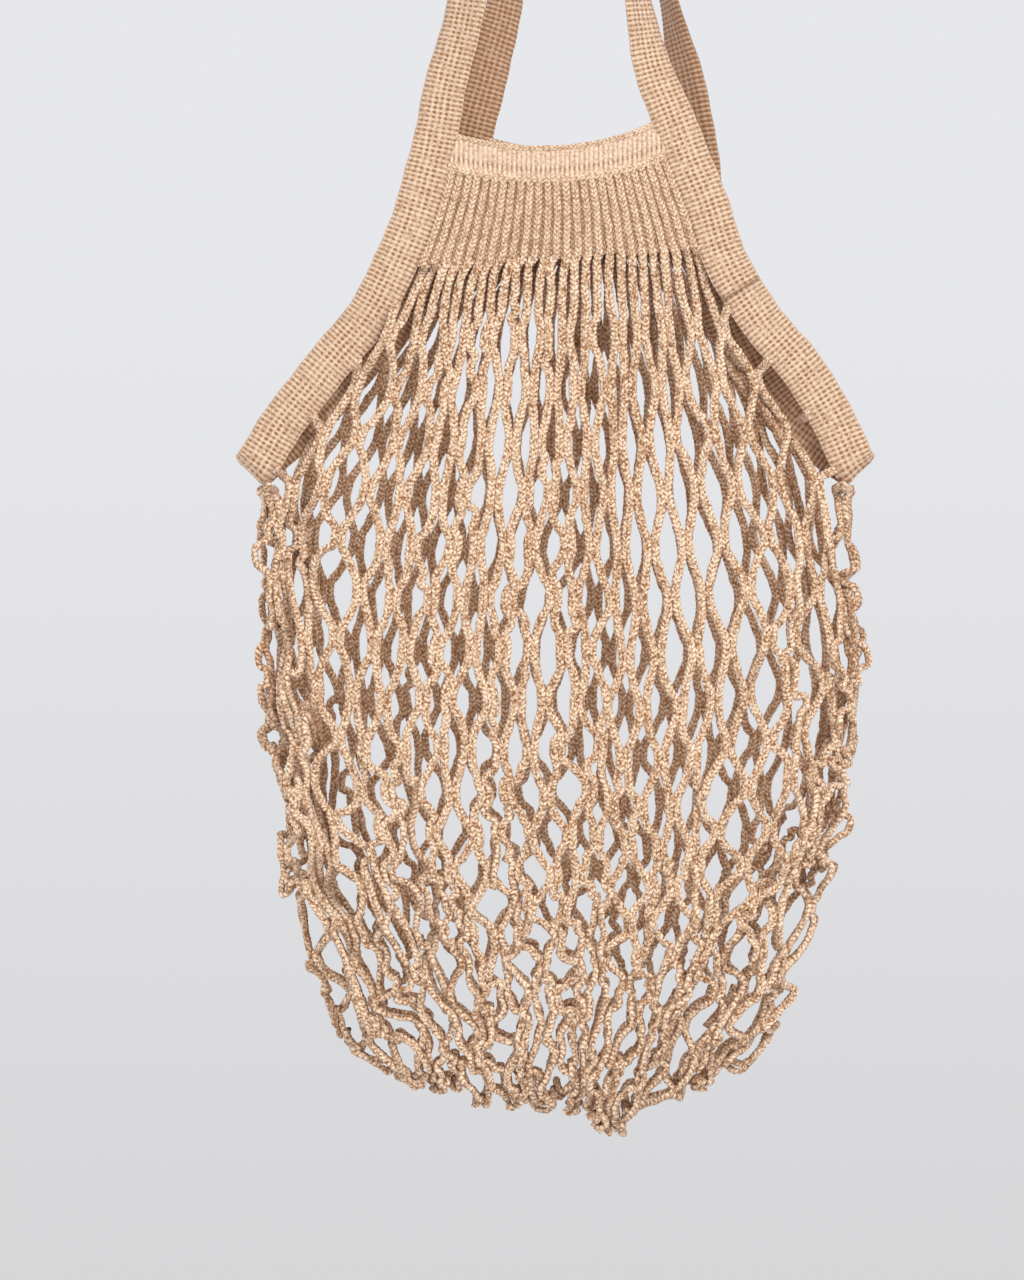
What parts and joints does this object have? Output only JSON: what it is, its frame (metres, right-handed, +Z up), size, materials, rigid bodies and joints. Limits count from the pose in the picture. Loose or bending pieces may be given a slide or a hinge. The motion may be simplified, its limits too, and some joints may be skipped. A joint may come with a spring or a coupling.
{
  "type": "string shopping bag",
  "caption": "Knitted net shopping bag with a continuous tape strap that forms two long handles, ribbed hems and chain-knit cuffs, shown hanging empty.",
  "frame": {"origin": "the hang point, the middle of the underside of the two handles where they lie side by side over a peg", "axes": "+Z up, -Y is the front of the bag, +X is to the right seen from the front"},
  "size_m": [0.32, 0.056, 0.7788],
  "materials": {
    "strap_tape": "tubular knit tape of beige melange cotton yarn, with rows of small holes along it",
    "hem_band": "short ribbed band of beige melange cotton yarn",
    "knit_cuff": "coarse chain knit of beige melange cotton yarn",
    "net_cord": "braided looking chain-knit cords of beige melange cotton yarn"
  },
  "bodies": {
    "root": {"strap": "strap_tape", "front_hem": "hem_band", "back_hem": "hem_band", "front_cuff": "knit_cuff", "back_cuff": "knit_cuff", "net_body": "net_cord"}
  },
  "joints": []
}
